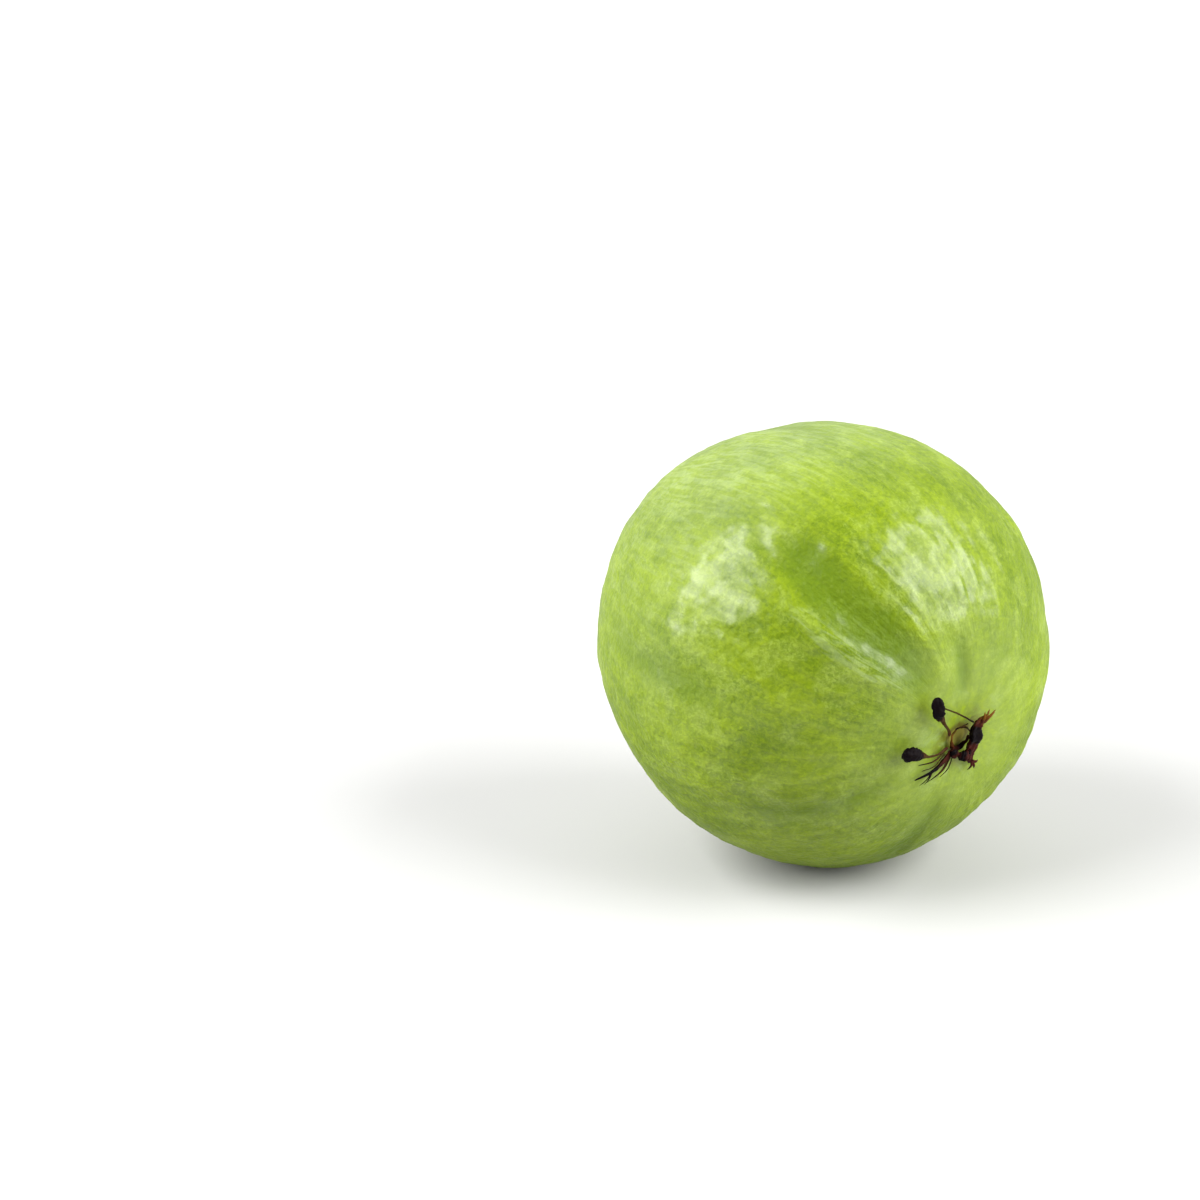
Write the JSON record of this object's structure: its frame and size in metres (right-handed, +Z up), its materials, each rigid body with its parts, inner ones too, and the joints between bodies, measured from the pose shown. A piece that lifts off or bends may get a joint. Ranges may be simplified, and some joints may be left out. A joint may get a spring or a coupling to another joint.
{
  "type": "guava",
  "caption": "Whole pale-green guava lying on its side, with dried sepals and threads at the blossom end and a short cut stub of stalk.",
  "frame": {"origin": "on the rest spot, straight under the heart of the fruit", "axes": "+Z up from the surface it rests on; the fruit's axis lies in the plane of Y and Z, with the blossom end towards -Y and 9 degrees below level, and the stem end towards +Y; +X is to the right when the blossom end is looked at"},
  "size_m": [0.0859, 0.0897, 0.0839],
  "materials": {
    "skin": "satin",
    "dried_sepal": "matte",
    "dried_thread": "matte",
    "stalk": "matte"
  },
  "bodies": {
    "root": {"fruit": "skin", "calyx_ring": "dried_sepal", "sepal_upper": "dried_sepal", "sepal_left": "dried_sepal", "sepal_right": "dried_sepal", "sepal_lower": "dried_sepal", "style_remnant": "dried_sepal", "filament_upper": "dried_thread", "filament_left": "dried_thread", "filament_lower": "dried_thread", "stem_stub": "stalk"}
  },
  "joints": []
}
